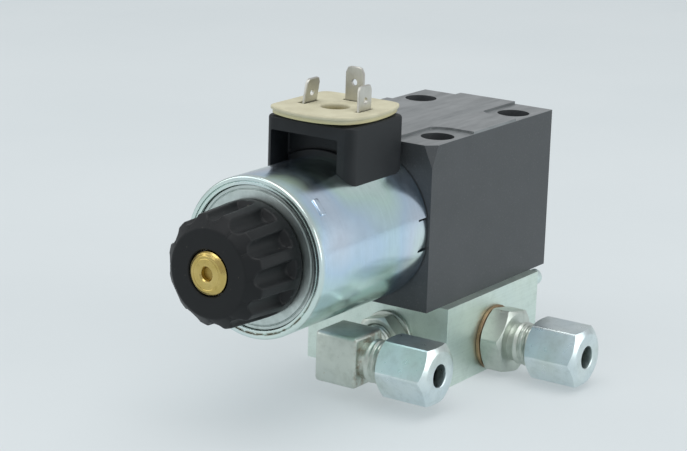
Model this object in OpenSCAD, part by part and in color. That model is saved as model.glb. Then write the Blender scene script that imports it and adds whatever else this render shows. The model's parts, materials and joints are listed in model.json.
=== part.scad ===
// Solenoid directional valve, size NG6, bolted to a small connection block with two pipe fittings.
// Millimetres. The origin is on the block's base plane, under the centre of the four valve screws.
// +X runs along the spool, away from the coil. -Y is the side of the tube ends. +Z is up.

/* [Valve body] */
// Length of the body along the spool
body_length = 64; // [62:1:70]
// Width of the body
body_width = 43; // [42:1:48]
// Height of the body
body_height = 46.4; // [44:0.2:50]
// Height of the spool's axis above the body's underside
spool_height = 22.1; // [21.5:0.1:23]
// Distance between the screws along the spool
screw_spacing_x = 40.5; // [40:0.5:41]
// Distance between the screws across the spool
screw_spacing_y = 31; // [30:0.5:32]
// Diameter of the counterbore over each screw head
counterbore_d = 9.1; // [8.8:0.1:10]
// Depth of the counterbore
counterbore_depth = 13; // [8:1:20]
// Depth of the milled pad round each counterbore
pad_depth = 0.7; // [0.3:0.1:1.5]
// Radius of the pad's round end
pad_radius = 8.9; // [8:0.1:10]

/* [Spool] */
// Diameter of the spool's lands
spool_d = 12; // [11:0.5:12.5]
// Travel of the spool when the coil is energised
spool_travel = 3; // [2:0.5:3]
// Width of each chamber round the spool
chamber_width = 4.5; // [4:0.1:5]
// Distance from chamber to chamber
chamber_pitch = 8.75; // [8.5:0.05:9]

/* [Connection block] */
// Length of the block along the spool
block_length = 49; // [47:1:52]
// Width of the block
block_width = 45.8; // [44:0.2:50]
// Height of the block
block_height = 22.7; // [22:0.1:26]
// Distance of the block's centre from the screws' centre, towards the coil
block_back_shift = 0.8; // [0:0.1:2]
// Distance of the block's centre from the screws' centre, towards the tube ends
block_side_shift = 1.4; // [0:0.1:2]
// Distance between the two threaded holes in the block's base
base_hole_spacing = 32; // [28:1:34]

/* [Solenoid] */
// Outer diameter of the can
coil_d = 42.5; // [42:0.1:44]
// Length of the can
coil_length = 49.5; // [48:0.5:52]
// Wall of the can
can_wall = 2.4; // [2:0.1:3]
// Outer diameter of the pressure tube
tube_d = 23; // [22:0.5:24]
// Diameter of the armature
armature_d = 18; // [17:0.5:19]
// Length of the armature
armature_length = 26.7; // [24:0.1:26.9]

/* [Coil nut] */
// Diameter of the nut's front face
nut_front_d = 23; // [22:0.5:26]
// Diameter over the ribs just behind the front face
nut_rib_d = 29.4; // [28:0.2:30]
// Diameter of the flange at the coil
nut_flange_d = 30.6; // [30:0.2:33]
// Length of the nut
nut_length = 18.8; // [18:0.2:20]
// Number of finger grooves
nut_grooves = 12; // [8:1:14]
// Diameter of the brass end in the nut's face
brass_d = 11.4; // [10:0.2:12]
// Distance that the brass end stands proud of the nut's face
brass_proud = 0.8; // [0.2:0.1:2]

/* [Electrical connector] */
// Length of the housing along the spool
housing_length = 25; // [24:0.5:27]
// Width of the housing
housing_width = 27.6; // [26:0.1:28]
// Height of the housing's top over the coil's axis
housing_top = 31.6; // [31:0.1:33]
// Thickness of the gasket
gasket_thickness = 2.1; // [1.5:0.1:3]
// Distance of each blade from the centre screw
blade_spacing = 9; // [8.5:0.1:9.5]
// Width of a blade
blade_width = 5.8; // [5:0.1:6.5]
// Thickness of a blade
blade_thickness = 0.8; // [0.6:0.1:1]

/* [Pipe fittings] */
// Outer diameter of the tubes that the fittings take
tube_od = 6; // [5.5:0.1:6.2]
// Width across flats of the union nuts
union_af = 15.5; // [14:0.1:15.8]
// Length of the union nuts
union_length = 15.4; // [14:0.1:16]
// Height of the straight fitting over the base
straight_height = 9.3; // [9.3:0.1:11]
// Height of the elbow over the base
elbow_height = 11.3; // [10.5:0.1:12]
// Side of the elbow's square forging
elbow_side = 13.2; // [12.5:0.1:14]

/* [Hidden] */
$fn = 64;

// Gap between pieces that move apart, and radial gap of a running fit
gap = 0.3;
fit_gap = 0.05;
// Overlap that keeps a cut clear of the face it starts on
cut = 1;

// Heights
axis_z = block_height + spool_height;
body_top = block_height + body_height;
pad_top = body_top - pad_depth;

// Places along the spool axis
body_face = -body_length / 2;
body_end = body_length / 2;
can_back = body_face - gap;
can_front = can_back - coil_length;
can_inner_r = coil_d / 2 - can_wall;
disc_r = can_inner_r - 0.1;
disc_thickness = 2.5;
disc_recess = 0.8;
front_disc_x = can_front + disc_recess;
coil_bore_r = tube_d / 2 + fit_gap;
bobbin_front = front_disc_x + disc_thickness;
bobbin_back = can_back - 3;
bobbin_flange = 1.5;
bobbin_r = disc_r - 0.4;
nut_back = front_disc_x - gap;
nut_front = nut_back - nut_length;
tube_shoulder = front_disc_x - 2.6;
stub_r = 7.9;
nut_room_r = 10.4;
stub_end = nut_front + 2.8;
bush_front = nut_front - brass_proud;
bush_back = tube_shoulder - 2;
pin_r = 1.6;
pole_face = body_face - 18;
ring_front = pole_face - 4;
armature_front = pole_face - spool_travel - gap;
armature_back = armature_front - armature_length;
tube_bottom = armature_back - 1.2;
spool_start = body_face + 11.6;
spool_stop = body_end - 9;

// Valve body
coil_thread_r = 11;
coil_thread_depth = 11;
plug_thread_r = 9;
plug_thread_depth = 9.4;
bore_r = spool_d / 2;
land_r = bore_r - 0.02;
stem_r = 3.5;
port_r = 3.25;
port_seat_r = 6;
port_seat_depth = 1.3;
land_overlap = 0.5;
work_chamber_r = 7.5;
tank_chamber_r = 9.5;
gallery_r = 3;
gallery_y = -8.5;
gallery_drop = 6.8;
seal_seat_depth = 2;
seal_seat_r = 2;
tank_port_height = 15;
facet_across = 2.7;
facet_down = 6;
chamber_centre = 1.25;
port_side = 10.4;
port_a = [chamber_centre - chamber_pitch, 0];
port_b = [chamber_centre + chamber_pitch, 0];
port_p = [chamber_centre, port_side];
port_t = [chamber_centre, -port_side];
tank_1 = chamber_centre - 2 * chamber_pitch;
tank_2 = chamber_centre + 2 * chamber_pitch;
screw_head_r = 4.25;
screw_head_height = 5;
screw_length = 50;
screw_seat = body_top - counterbore_depth;
screw_hole_r = 2.75;
screw_r = 2.5;
screw_key = 4;

// Connection block
block_x = -block_back_shift - block_length / 2;
block_end = block_x + block_length;
block_y = -block_side_shift - block_width / 2;
base_hole_y = 4;
base_hole_depth = 5;
base_hole_r = 2.5;
plug_y = -21;
plug_z = 19.6;
plug_r = 2.3;
drill_r = 3;
end_port_z = 14;
end_port_r = 5;
end_port_depth = 9;
elbow_stud_length = 9;
straight_stud_length = 10;

// Connector
housing_back = can_back - 1.5;
housing_front = housing_back - housing_length;
connector_x = housing_back - 12.8;
gasket_base = axis_z + housing_top;
window_left = 11.8;
window_right = -9.2;
window_top = housing_top - 3.7;
window_depth = 8;
housing_low = 12;
housing_foot = sqrt(pow(coil_d / 2, 2) - pow(housing_width / 2, 2));
relief_length = 4;
relief_height = 1.6;
insert_r = 3;
insert_depth = 9;
insert_thread_r = 1.25;
blade_foot = coil_d / 2 - 2.6;
blade_top = housing_top + gasket_thickness + 6.8;
earth_top = blade_top + 2.5;

// Fittings
thread_r = 6;
union_hole_r = tube_od / 2 + 0.1;
socket_r = tube_od / 2 + 0.05;
neck_length = 14.9;
neck_bare = 6.9;
straight_x = -1;
straight_hex_af = 17;
straight_hex_length = 6.7;
washer_thickness = 1.1;
washer_r = 9.1;
straight_face = block_y - washer_thickness;
straight_shoulder = straight_face - straight_hex_length;
elbow_x = block_x - 19.9;
elbow_y = -5.7;
elbow_forging_height = 14.2;
elbow_shoulder = elbow_y - elbow_side / 2;
elbow_stud_r = 4.9;
straight_stud_r = 6.5;
lock_nut_af = 13;
lock_nut_length = 5;
elbow_washer_r = 7.6;
elbow_washer_thickness = 1.2;
bore_oil_r = 2;

// ---- helpers ----------------------------------------------------------------------------------

// Moves a piece drawn round the X axis onto the spool axis
module on_axis() translate([0, 0, axis_z]) children();

// A round bar along X from x0 to x1
module bar_x(x0, x1, r)
    translate([x0, 0, 0]) rotate([0, 90, 0]) cylinder(r = r, h = x1 - x0);

// A tube along X
module tube_x(x0, x1, outer, inner) difference() {
    bar_x(x0, x1, outer);
    bar_x(x0 - cut, x1 + cut, inner);
}

// A turned piece round X: its outline's points are [radius, x]
module turned_x(points) rotate([0, 90, 0]) rotate_extrude() polygon(points);

// An O-ring round X
module seal_x(x, r, section)
    translate([x, 0, 0]) rotate([0, 90, 0]) rotate_extrude() translate([r, 0]) circle(section, $fn = 32);

// Turns a piece drawn round X so that its +X points along -Y
module facing_tubes() rotate([0, 0, -90]) children();

// A round hole from one point to another
module drilling(from, to, r) {
    way = to - from;
    flat = norm([way.x, way.y]);
    translate(from) rotate([0, atan2(flat, way.z), atan2(way.y, way.x)]) cylinder(r = r, h = norm(way));
}

module at_screws() for (x = [-1, 1], y = [-1, 1])
    translate([x * screw_spacing_x / 2, y * screw_spacing_y / 2, 0]) children();

module at_ports() for (port = [port_a, port_b, port_p, port_t])
    translate([port.x, port.y, 0]) children();

// A hexagon along X, turned by phase, with its corners chamfered to the given end radii
module hex_x(x0, x1, af, phase, end_0, end_1) {
    corner = af / sqrt(3);
    slope = tan(30);
    intersection() {
        translate([x0, 0, 0]) rotate([0, 90, 0]) rotate([0, 0, phase])
            cylinder(r = corner, h = x1 - x0, $fn = 6);
        turned_x([
            [0, x0], [end_0, x0], [corner + cut, x0 + (corner + cut - end_0) * slope],
            [corner + cut, x1 - (corner + cut - end_1) * slope], [end_1, x1], [0, x1]
        ]);
    }
}

// ---- valve body and block ---------------------------------------------------------------------

module pad_cut(x_side, y_side) {
    screw = [x_side * screw_spacing_x / 2, y_side * screw_spacing_y / 2];
    inner = 6.3;
    reach = 14;
    translate([0, 0, pad_top]) linear_extrude(pad_depth + cut) intersection() {
        union() {
            translate(screw) circle(pad_radius);
            translate([screw.x + (x_side - 1) / 2 * reach * 1.5, screw.y - pad_radius])
                square([reach * 1.5, 2 * pad_radius]);
            translate([screw.x - pad_radius, screw.y + (y_side - 1) / 2 * reach])
                square([2 * pad_radius, reach]);
        }
        translate([screw.x - 2 * reach, y_side > 0 ? screw.y - inner : screw.y + inner - 2 * reach])
            square([4 * reach, 2 * reach]);
    }
}

module body_chambers() {
    for (i = [-2:2])
        bar_x(
            chamber_centre + i * chamber_pitch - chamber_width / 2,
            chamber_centre + i * chamber_pitch + chamber_width / 2,
            abs(i) == 2 ? tank_chamber_r : work_chamber_r
        );
}

// A facet on a top corner at the coil's end
module corner_facet(side) {
    outward = [-1 / facet_across, side / facet_across, 1 / facet_down];
    size = 3 * facet_down;
    translate([body_face + facet_across, side * body_width / 2, pad_top])
        rotate([0, acos(outward.z / norm(outward)), atan2(outward.y, outward.x)])
        translate([-size / 2, -size / 2, 0]) cube(size);
}

module valve_body() color([0.26, 0.27, 0.28]) difference() {
    translate([body_face, -body_width / 2, block_height]) cube([body_length, body_width, body_height]);
    for (side = [-1, 1]) corner_facet(side);
    on_axis() {
        bar_x(body_face - cut, body_end + cut, bore_r);
        bar_x(body_face - cut, body_face + coil_thread_depth, coil_thread_r);
        bar_x(body_face - cut, body_face + seal_seat_depth, coil_thread_r + seal_seat_r);
        bar_x(body_end - plug_thread_depth, body_end + cut, plug_thread_r);
        bar_x(body_end - seal_seat_depth, body_end + cut, plug_thread_r + seal_seat_r);
        body_chambers();
        // tank gallery between the two outer chambers
        translate([0, gallery_y, -gallery_drop]) bar_x(tank_1, tank_2, gallery_r);
    }
    // ports from the base up to their chambers
    for (port = [port_a, port_b]) translate([port.x, port.y, block_height - cut])
        cylinder(r = port_r, h = spool_height + cut);
    translate([port_p.x, port_p.y, block_height - cut]) cylinder(r = port_r, h = spool_height + cut);
    drilling([port_p.x, port_p.y, axis_z], [port_p.x, 0, axis_z], drill_r);
    translate([port_t.x, port_t.y, block_height - cut]) cylinder(r = port_r, h = tank_port_height);
    at_ports() translate([0, 0, block_height - cut]) cylinder(r = port_seat_r, h = port_seat_depth + cut);
    at_screws() {
        translate([0, 0, block_height - cut]) cylinder(r = screw_hole_r, h = body_height + 2 * cut);
        translate([0, 0, screw_seat]) cylinder(d = counterbore_d, h = counterbore_depth + cut);
    }
    for (x = [-1, 1], y = [-1, 1]) pad_cut(x, y);
}

module mounting_screws() color([0.2, 0.2, 0.21]) at_screws() difference() {
    union() {
        translate([0, 0, screw_seat]) cylinder(r = screw_head_r, h = screw_head_height);
        translate([0, 0, screw_seat - screw_length]) cylinder(r = screw_r, h = screw_length);
    }
    translate([0, 0, screw_seat + screw_head_height - 2.5])
        cylinder(r = screw_key / sqrt(3), h = 2.5 + cut, $fn = 6);
}

module port_seals() color([0.1, 0.1, 0.1]) at_ports() translate([0, 0, block_height + port_seat_depth / 2])
    rotate_extrude() translate([5, 0]) circle(port_seat_depth / 2 - fit_gap, $fn = 32);

module sub_block() color([0.62, 0.66, 0.64]) difference() {
    translate([block_x, block_y, 0]) cube([block_length, block_width, block_height]);
    // threads for the valve screws
    at_screws() translate([0, 0, screw_seat - screw_length - 1])
        cylinder(r = screw_r, h = block_height);
    // ports under the valve
    translate([port_b.x, port_b.y, 11]) cylinder(r = port_r, h = block_height);
    translate([port_p.x, port_p.y, straight_height]) cylinder(r = port_r, h = block_height);
    translate([port_t.x, port_t.y, 15.5]) cylinder(r = port_r, h = block_height);
    drilling([port_a.x, port_a.y, block_height + cut], [block_x + 15.8, elbow_y, elbow_height], port_r);
    // elbow port
    translate([0, elbow_y, elbow_height]) {
        bar_x(block_x - cut, block_x + elbow_stud_length + 1, elbow_stud_r + 0.1);
        bar_x(block_x, block_x + 16.5, drill_r);
    }
    // straight port
    translate([straight_x, 0, straight_height]) facing_tubes() {
        bar_x(-block_y - straight_stud_length - 2, -block_y + cut, straight_stud_r + 0.1);
        bar_x(-port_p.y, -block_y, drill_r);
    }
    // closed port at the far end, with its plug's thread
    translate([0, 0, end_port_z]) {
        bar_x(port_b.x, block_end - end_port_depth, 2.5);
        bar_x(block_end - end_port_depth, block_end + cut, end_port_r);
    }
    // small closed drilling near the tube side's corner
    translate([0, plug_y, plug_z]) bar_x(block_end - 8, block_end + cut, plug_r);
    // threaded holes in the base
    for (x = [-1, 1]) translate([x * base_hole_spacing / 2, base_hole_y, -cut])
        cylinder(r = base_hole_r, h = base_hole_depth + cut);
}

module block_plugs() color([0.6, 0.62, 0.62]) {
    translate([0, 0, end_port_z]) difference() {
        bar_x(block_end - end_port_depth + 1, block_end - 0.5, end_port_r);
        translate([block_end - 4.5, 0, 0]) rotate([0, 90, 0]) cylinder(d = 6, h = 4 + cut, $fn = 6);
    }
    translate([0, plug_y, plug_z]) bar_x(block_end - 7, block_end + 4.5, plug_r);
}

// ---- spool set --------------------------------------------------------------------------------

module spool() color([0.75, 0.76, 0.78]) on_axis() {
    // land edges that open one side of each work chamber by the travel less the overlap
    open_edge = chamber_width / 2 - spool_travel + land_overlap;
    closed_edge = chamber_width / 2 + land_overlap;
    land_a = chamber_centre - chamber_pitch;
    land_b = chamber_centre + chamber_pitch;
    difference() {
        union() {
            bar_x(spool_start, spool_stop, stem_r);
            bar_x(spool_start, spool_start + 2, land_r);
            bar_x(land_a - closed_edge, land_a + open_edge, land_r);
            bar_x(land_b - closed_edge, land_b + open_edge, land_r);
            bar_x(tank_2 + chamber_width / 2 - 1, spool_stop, land_r);
        }
        // balance groove
        tube_x(spool_stop - 1.4, spool_stop - 1, land_r + cut, land_r - 0.3);
    }
}

spring_r = 4.7;
spring_wire = 0.7;
spring_turns = 5;
spring_start = spool_stop + 1.5 + spring_wire;
spring_stop = body_end + 3 - spring_wire;
spring_steps = 14;
spring_sides = 8;

function spring_at(i) =
    let (turn = 360 * i / spring_steps, length = spring_stop - spring_start)
    [spring_start + length * i / (spring_turns * spring_steps), spring_r * cos(turn), spring_r * sin(turn)];

function spring_ring(i) =
    let (
        turn = 360 * i / spring_steps,
        outward = [0, cos(turn), sin(turn)],
        rise = (spring_stop - spring_start) / spring_turns / 2 / PI,
        along = [rise, -spring_r * sin(turn), spring_r * cos(turn)] / norm([rise, spring_r]),
        side = cross(along, outward)
    )
    [for (k = [0:spring_sides - 1])
        let (a = 360 * k / spring_sides)
        spring_at(i) + spring_wire * (cos(a) * outward + sin(a) * side)];

module return_spring() color([0.7, 0.7, 0.72]) on_axis() {
    last = spring_turns * spring_steps;
    points = [for (i = [0:last]) each spring_ring(i)];
    sides = [for (i = [0:last - 1], k = [0:spring_sides - 1])
        let (next = (k + 1) % spring_sides)
        [
            i * spring_sides + k, i * spring_sides + next,
            (i + 1) * spring_sides + next, (i + 1) * spring_sides + k
        ]];
    first_cap = [[for (k = [0:spring_sides - 1]) spring_sides - 1 - k]];
    last_cap = [[for (k = [0:spring_sides - 1]) last * spring_sides + k]];
    polyhedron(points = points, faces = concat(sides, first_cap, last_cap), convexity = 8);
}

module spring_seat() color([0.7, 0.71, 0.73]) on_axis() difference() {
    bar_x(spool_stop, spool_stop + 1.5, 6.1);
    bar_x(spool_stop + 0.5, spool_stop + 1.5 + cut, 1.5);
}

module end_plug() color([0.55, 0.57, 0.58]) on_axis() difference() {
    union() {
        bar_x(body_end - 8.8, body_end, plug_thread_r - 0.1);
        hex_x(body_end, body_end + 5, 22, 0, 10.6, 10.6);
    }
    bar_x(body_end - 8.8 - cut, body_end + 3, 6.5);
}

module end_plug_seal() color([0.1, 0.1, 0.1]) on_axis() seal_x(body_end - 1, plug_thread_r + 0.95, 0.85);

// ---- pressure tube and armature ---------------------------------------------------------------

module pole_piece() color([0.6, 0.61, 0.62]) on_axis() difference() {
    union() {
        bar_x(pole_face, body_face, tube_d / 2);
        bar_x(body_face, body_face + coil_thread_depth - 1, coil_thread_r - 0.1);
    }
    bar_x(pole_face - cut, body_end, 1.7);
    bar_x(body_face + 4, body_end, 4.5);
}

module tube_ring() color([0.75, 0.68, 0.45]) on_axis()
    tube_x(ring_front, pole_face, tube_d / 2, armature_d / 2 + fit_gap);

module pole_tube() color([0.58, 0.6, 0.62]) on_axis() difference() {
    union() {
        bar_x(tube_shoulder, ring_front, tube_d / 2);
        bar_x(stub_end, tube_shoulder, stub_r);
    }
    bar_x(tube_bottom, ring_front + cut, armature_d / 2 + fit_gap);
    bar_x(stub_end - cut, tube_bottom + cut, 5);
}

module tube_seal() color([0.1, 0.1, 0.1]) on_axis() seal_x(body_face + 1, coil_thread_r + 0.95, 0.85);

module armature() color([0.5, 0.51, 0.53]) on_axis() difference() {
    bar_x(armature_back, armature_front, armature_d / 2);
    bar_x(armature_front - 12, armature_front + cut, 1.5);
    // oil passages through the armature
    for (side = [-1, 1]) translate([0, side * 5, 0]) bar_x(armature_back - cut, armature_front + cut, 1.2);
}

module push_pin() color([0.78, 0.79, 0.8]) on_axis() bar_x(armature_front - 12, spool_start - gap, 1.5);

module override_bush() color([0.80, 0.64, 0.30]) on_axis() difference() {
    union() {
        turned_x([
            [0, bush_front], [brass_d / 2 - 0.5, bush_front], [brass_d / 2, bush_front + 0.5],
            [brass_d / 2, stub_end], [0, stub_end]
        ]);
        bar_x(stub_end, bush_back, 5);
    }
    bar_x(bush_front - cut, bush_back + cut, pin_r + fit_gap);
    turned_x([
        [0, bush_front - cut], [3.15, bush_front - cut], [pin_r, bush_front + 0.6], [0, bush_front + 0.6]
    ]);
    bar_x(bush_back - 7, bush_back - 4.6, 3.6);
}

module override_pin() color([0.72, 0.6, 0.34]) on_axis() {
    bar_x(bush_front + 1.5, armature_back - gap, pin_r);
    bar_x(bush_back + gap, bush_back + 1.4, 2.4);
}

module override_seal() color([0.1, 0.1, 0.1]) on_axis() seal_x(bush_back - 5.8, 2.6, 0.93);

// ---- coil -------------------------------------------------------------------------------------

module coil_can() color([0.72, 0.76, 0.82]) on_axis() difference() {
    turned_x([
        [can_inner_r, can_front + 0.4], [can_inner_r + 0.4, can_front], [coil_d / 2 - 0.9, can_front],
        [coil_d / 2, can_front + 0.9], [coil_d / 2, can_back], [can_inner_r, can_back]
    ]);
    // opening under the connector for the leads
    translate([connector_x - 5, -11, 0]) cube([16, 22, coil_d]);
}

module coil_disc(x) difference() {
    bar_x(x, x + disc_thickness, disc_r);
    bar_x(x - cut, x + disc_thickness + cut, coil_bore_r);
}

module front_disc() color([0.70, 0.73, 0.78]) on_axis() coil_disc(front_disc_x);

module rear_disc() color([0.70, 0.73, 0.78]) on_axis() difference() {
    coil_disc(can_back - disc_thickness);
    tube_x(can_back - 1.5, can_back + cut, 15, 13);
}

module coil_seal() color([0.1, 0.1, 0.1]) on_axis() seal_x(can_back - 0.75, 14, 0.7);

module bobbin() color([0.12, 0.12, 0.13]) on_axis() difference() {
    union() {
        bar_x(bobbin_front, bobbin_back, 13);
        bar_x(bobbin_front, bobbin_front + bobbin_flange, bobbin_r);
        bar_x(bobbin_back - bobbin_flange, bobbin_back, bobbin_r);
    }
    bar_x(bobbin_front - cut, bobbin_back + cut, coil_bore_r);
}

module winding() color([0.72, 0.42, 0.22]) on_axis()
    tube_x(bobbin_front + bobbin_flange, bobbin_back - bobbin_flange, bobbin_r - 1, 13);

module connector_housing() color([0.10, 0.10, 0.11]) on_axis() difference() {
    translate([housing_front, -housing_width / 2, housing_low])
        cube([housing_length, housing_width, housing_top - housing_low]);
    bar_x(housing_front - cut, housing_back + cut, coil_d / 2);
    // window towards the nut
    translate([housing_front - cut, window_right, housing_low])
        cube([window_depth + cut, window_left - window_right, window_top - housing_low]);
    // rear lower edges, lifted clear of the can
    rotate([90, 0, 0]) linear_extrude(housing_width + cut, center = true) polygon([
        [housing_back - relief_length, housing_foot],
        [housing_back + cut, housing_foot + relief_height * (relief_length + cut) / relief_length],
        [housing_back + cut, housing_low - cut], [housing_back - relief_length, housing_low - cut]
    ]);
    // slots for the blades and the hole for the nut
    blade_slots();
    translate([connector_x, 0, housing_top - insert_depth]) cylinder(r = insert_r, h = insert_depth + cut);
}

module blade_slots() {
    for (y = [-1, 1]) translate([connector_x - blade_width / 2, y * blade_spacing - blade_thickness / 2, 0])
        cube([blade_width, blade_thickness, housing_top + cut]);
    translate([connector_x + blade_spacing - blade_thickness / 2, -blade_width / 2, 0])
        cube([blade_thickness, blade_width, housing_top + cut]);
}

// A blade standing in the YZ plane, thickness centred on x = 0
module blade(top, tip, eye) translate([-blade_thickness / 2, 0, 0]) rotate([90, 0, 90])
    linear_extrude(blade_thickness) difference() {
        polygon([
            [-blade_width / 2, blade_foot], [blade_width / 2, blade_foot], [blade_width / 2, top - tip],
            [blade_width / 2 - tip, top], [-blade_width / 2 + tip, top], [-blade_width / 2, top - tip]
        ]);
        translate([0, top - eye]) circle(0.85);
    }

module terminal_left() color([0.72, 0.71, 0.66]) on_axis()
    translate([connector_x, blade_spacing, 0]) rotate([0, 0, 90]) blade(blade_top, 0.8, 4);

module terminal_right() color([0.72, 0.71, 0.66]) on_axis()
    translate([connector_x, -blade_spacing, 0]) rotate([0, 0, 90]) blade(blade_top, 0.8, 4);

module earth_terminal() color([0.72, 0.71, 0.66]) on_axis()
    translate([connector_x + blade_spacing, 0, 0]) blade(earth_top, 1.2, 4.2);

module terminal_nut() color([0.78, 0.66, 0.36]) on_axis()
    translate([connector_x, 0, housing_top - insert_depth]) difference() {
        cylinder(r = insert_r, h = insert_depth - 0.5);
        translate([0, 0, -cut]) cylinder(r = insert_thread_r, h = insert_depth + 2 * cut);
    }

module gasket_outline(inset) intersection() {
    side_r = 60;
    end_r = 45;
    half_length = 14.6 - inset;
    half_width = 13.8 - inset;
    circle(17.7 - inset);
    translate([end_r - half_length, 0]) circle(end_r);
    translate([half_length - end_r, 0]) circle(end_r);
    translate([0, side_r - half_width]) circle(side_r);
    translate([0, half_width - side_r]) circle(side_r);
}

module connector_gasket() color([0.86, 0.80, 0.62]) difference() {
    union() {
        translate([connector_x, 0, gasket_base]) linear_extrude(gasket_thickness / 2) gasket_outline(0.5);
        translate([connector_x, 0, gasket_base + gasket_thickness / 2])
            linear_extrude(gasket_thickness / 2) gasket_outline(0);
    }
    translate([connector_x, 0, gasket_base - cut]) cylinder(r = 4.1, h = gasket_thickness + 2 * cut);
    on_axis() translate([0, 0, housing_top - cut]) linear_extrude(gasket_thickness + 3 * cut) {
        for (y = [-1, 1]) translate([connector_x, y * blade_spacing])
            square([blade_width, blade_thickness], center = true);
        translate([connector_x + blade_spacing, 0]) square([blade_thickness, blade_width], center = true);
    }
}

// ---- coil nut ---------------------------------------------------------------------------------

module coil_nut() color([0.07, 0.07, 0.08]) on_axis() difference() {
    groove_r = 2.6;
    groove_axis = nut_rib_d / 2 + 0.9;
    groove_end = nut_back - 3.4;
    turned_x([
        [0, nut_front], [nut_front_d / 2 - 0.4, nut_front], [nut_front_d / 2 + 0.4, nut_front + 0.4],
        [nut_rib_d / 2, nut_front + 3], [nut_flange_d / 2, groove_end + 0.8], [nut_flange_d / 2, nut_back],
        [0, nut_back]
    ]);
    // finger grooves, open at the front
    for (k = [0:nut_grooves - 1]) rotate([360 * k / nut_grooves - 2, 0, 0])
        translate([0, -groove_axis, 0]) bar_x(nut_front - cut, groove_end, groove_r);
    // hole for the brass end, seat of the insert, room for the tube and groove of the seal
    bar_x(nut_front - cut, nut_back + cut, brass_d / 2 + gap + 0.05);
    bar_x(stub_end, nut_back + cut, nut_room_r);
    bar_x(nut_back - 3, nut_back + cut, tube_d / 2 + gap);
    tube_x(nut_back - 2, nut_back + cut, 14.6, 12.4);
}

module nut_insert() color([0.78, 0.66, 0.36]) on_axis()
    tube_x(stub_end + gap, nut_back - 3, nut_room_r, stub_r + 0.1);

module nut_seal() color([0.1, 0.1, 0.1]) on_axis() seal_x(nut_back - 0.8, 13.5, 0.8);

// ---- pipe fittings ----------------------------------------------------------------------------
// Each is drawn along +X from the shoulder at x = 0, then turned to face the tube side.

module fitting_neck() turned_x([
    [0, 0], [thread_r - 0.4, 0], [thread_r - 0.4, 2], [thread_r, 2.4],
    [thread_r, neck_length - 0.6], [thread_r - 0.6, neck_length], [0, neck_length]
]);

// Socket for the tube, with the cone that the ring seats in
module fitting_socket() {
    bar_x(neck_length - 7, neck_length + cut, socket_r);
    turned_x([
        [0, neck_length - 2.2], [socket_r, neck_length - 2.2], [4.1, neck_length], [4.1, neck_length + cut],
        [0, neck_length + cut]
    ]);
}

module cutting_ring() difference() {
    turned_x([
        [0, neck_length + 0.4], [4.2, neck_length + 0.4], [4.7, neck_length + 1.2],
        [3.8, neck_length + 3], [0, neck_length + 3]
    ]);
    bar_x(neck_length - cut, neck_length + 4, socket_r + 0.02);
}

module union_nut(phase) {
    back = neck_bare;
    front = back + union_length;
    difference() {
        hex_x(back, front, union_af, phase, 7.6, 6.9);
        bar_x(back - cut, front + cut, union_hole_r);
        bar_x(back - cut, neck_length + 1.7, thread_r + 0.1);
        turned_x([
            [0, neck_length + 1.6], [thread_r + 0.1, neck_length + 1.6], [union_hole_r, neck_length + 4.6],
            [0, neck_length + 4.6]
        ]);
        // rounded edge of the tube hole
        turned_x([
            [0, front - 0.4], [union_hole_r, front - 0.4], [union_hole_r + 0.5, front + 0.1], [0, front + 0.1]
        ]);
    }
}

module at_elbow() translate([elbow_x, elbow_shoulder, elbow_height]) facing_tubes() children();
module at_straight() translate([straight_x, straight_shoulder, straight_height]) facing_tubes() children();

module elbow_body() color([0.64, 0.66, 0.63]) {
    stud_start = elbow_x + elbow_side / 2;
    difference() {
        union() {
            translate([elbow_x - elbow_side / 2, elbow_shoulder, elbow_height - elbow_forging_height / 2])
                cube([elbow_side, elbow_side, elbow_forging_height]);
            at_elbow() fitting_neck();
            translate([0, elbow_y, elbow_height])
                bar_x(stud_start, block_x + elbow_stud_length, elbow_stud_r);
        }
        at_elbow() fitting_socket();
        at_elbow() bar_x(-elbow_side / 2, neck_length, bore_oil_r);
        translate([0, elbow_y, elbow_height]) bar_x(elbow_x, block_x + elbow_stud_length + cut, bore_oil_r);
    }
}

module elbow_lock_nut() color([0.66, 0.68, 0.68]) translate([0, elbow_y, elbow_height]) difference() {
    back = block_x - elbow_washer_thickness;
    hex_x(back - lock_nut_length, back, lock_nut_af, 15, lock_nut_af / 2, lock_nut_af / 2);
    bar_x(back - lock_nut_length - cut, back + cut, elbow_stud_r + 0.02);
}

module elbow_washer() color([0.6, 0.6, 0.58]) translate([0, elbow_y, elbow_height])
    tube_x(block_x - elbow_washer_thickness, block_x, elbow_washer_r, elbow_stud_r + 0.02);

module elbow_ring() color([0.7, 0.7, 0.66]) at_elbow() cutting_ring();

module elbow_union_nut() color([0.68, 0.72, 0.76]) at_elbow() union_nut(31);

module straight_body() color([0.64, 0.67, 0.66]) at_straight() {
    stud_end = -straight_hex_length - washer_thickness - straight_stud_length;
    difference() {
        union() {
            hex_x(-straight_hex_length, 0, straight_hex_af, 20, 8.4, 8.2);
            fitting_neck();
            bar_x(stud_end, -straight_hex_length, straight_stud_r);
        }
        fitting_socket();
        bar_x(stud_end - cut, neck_length, bore_oil_r);
    }
}

module straight_washer() color([0.62, 0.46, 0.30]) at_straight()
    tube_x(-straight_hex_length - washer_thickness, -straight_hex_length, washer_r, straight_stud_r + 0.02);

module straight_ring() color([0.7, 0.7, 0.66]) at_straight() cutting_ring();

module straight_union_nut() color([0.68, 0.72, 0.76]) at_straight() union_nut(34);

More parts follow.
